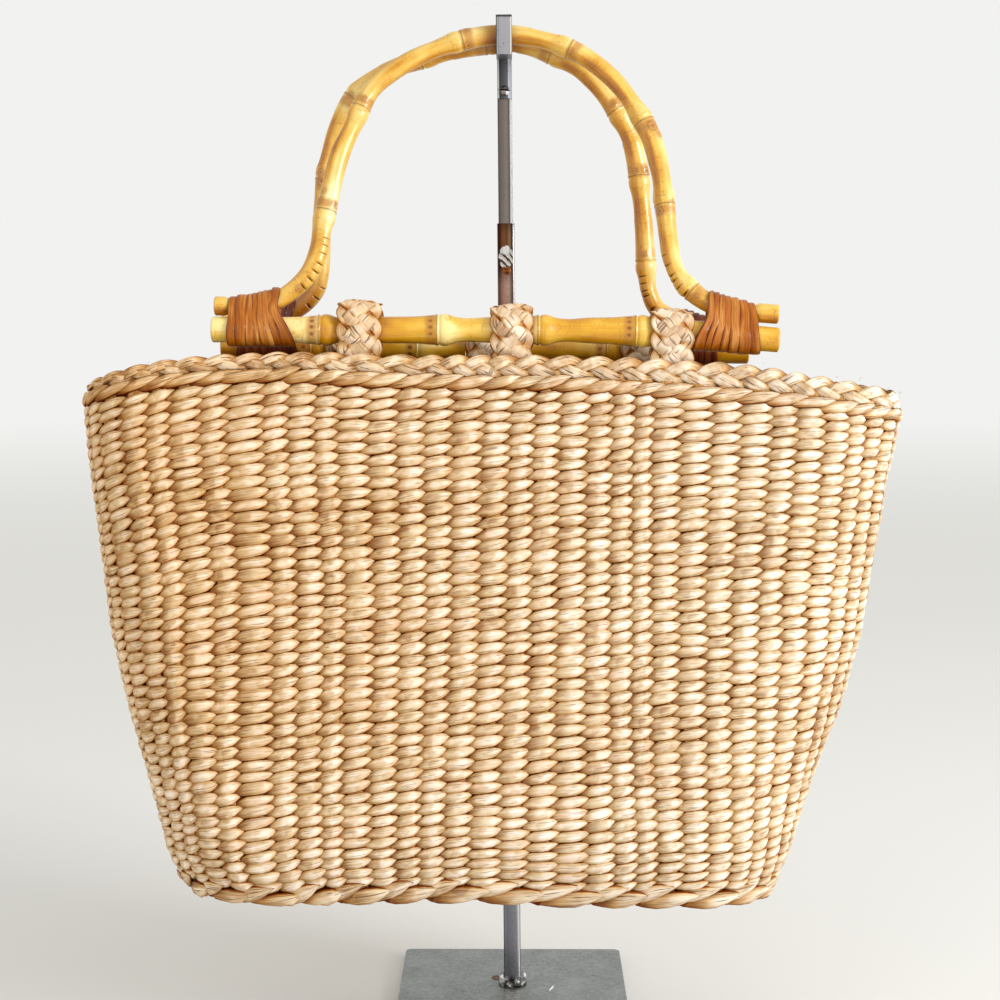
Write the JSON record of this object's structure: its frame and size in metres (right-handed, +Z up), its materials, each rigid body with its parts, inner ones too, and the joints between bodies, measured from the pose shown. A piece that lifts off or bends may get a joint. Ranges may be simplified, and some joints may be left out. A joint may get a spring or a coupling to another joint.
{
  "type": "straw basket bag on a display stand",
  "caption": "Woven straw basket bag with arched bamboo handles, hung by its handles from the hook of a slim metal display stand.",
  "frame": {"origin": "centre of the underside of the stand's base plate", "axes": "+Z up, -Y towards the bag's front, +X to the right when the front is seen"},
  "size_m": [0.4346, 0.2215, 0.54],
  "materials": {
    "woven_straw": "matte",
    "plaited_straw": "matte",
    "bamboo": "satin",
    "rattan": "gloss",
    "post_metal": "satin",
    "plate_metal": "satin"
  },
  "bodies": {
    "root": {"basket_body": "woven_straw", "rim_wale": "woven_straw", "rim_braid": "woven_straw", "base_wale": "woven_straw", "front_rod": "bamboo", "front_arch": "bamboo", "front_binding_left": "rattan", "front_binding_right": "rattan", "front_loop_left": "plaited_straw", "front_loop_middle": "plaited_straw", "front_loop_right": "plaited_straw", "back_rod": "bamboo", "back_arch": "bamboo", "back_binding_left": "rattan", "back_binding_right": "rattan", "back_loop_left": "plaited_straw", "back_loop_middle": "plaited_straw", "back_loop_right": "plaited_straw", "base_plate": "plate_metal", "post_collar": "post_metal", "post_tube": "post_metal", "post_bar": "post_metal", "hook": "post_metal", "hook_screw": "post_metal", "thumb_screw": "post_metal"}
  },
  "joints": []
}
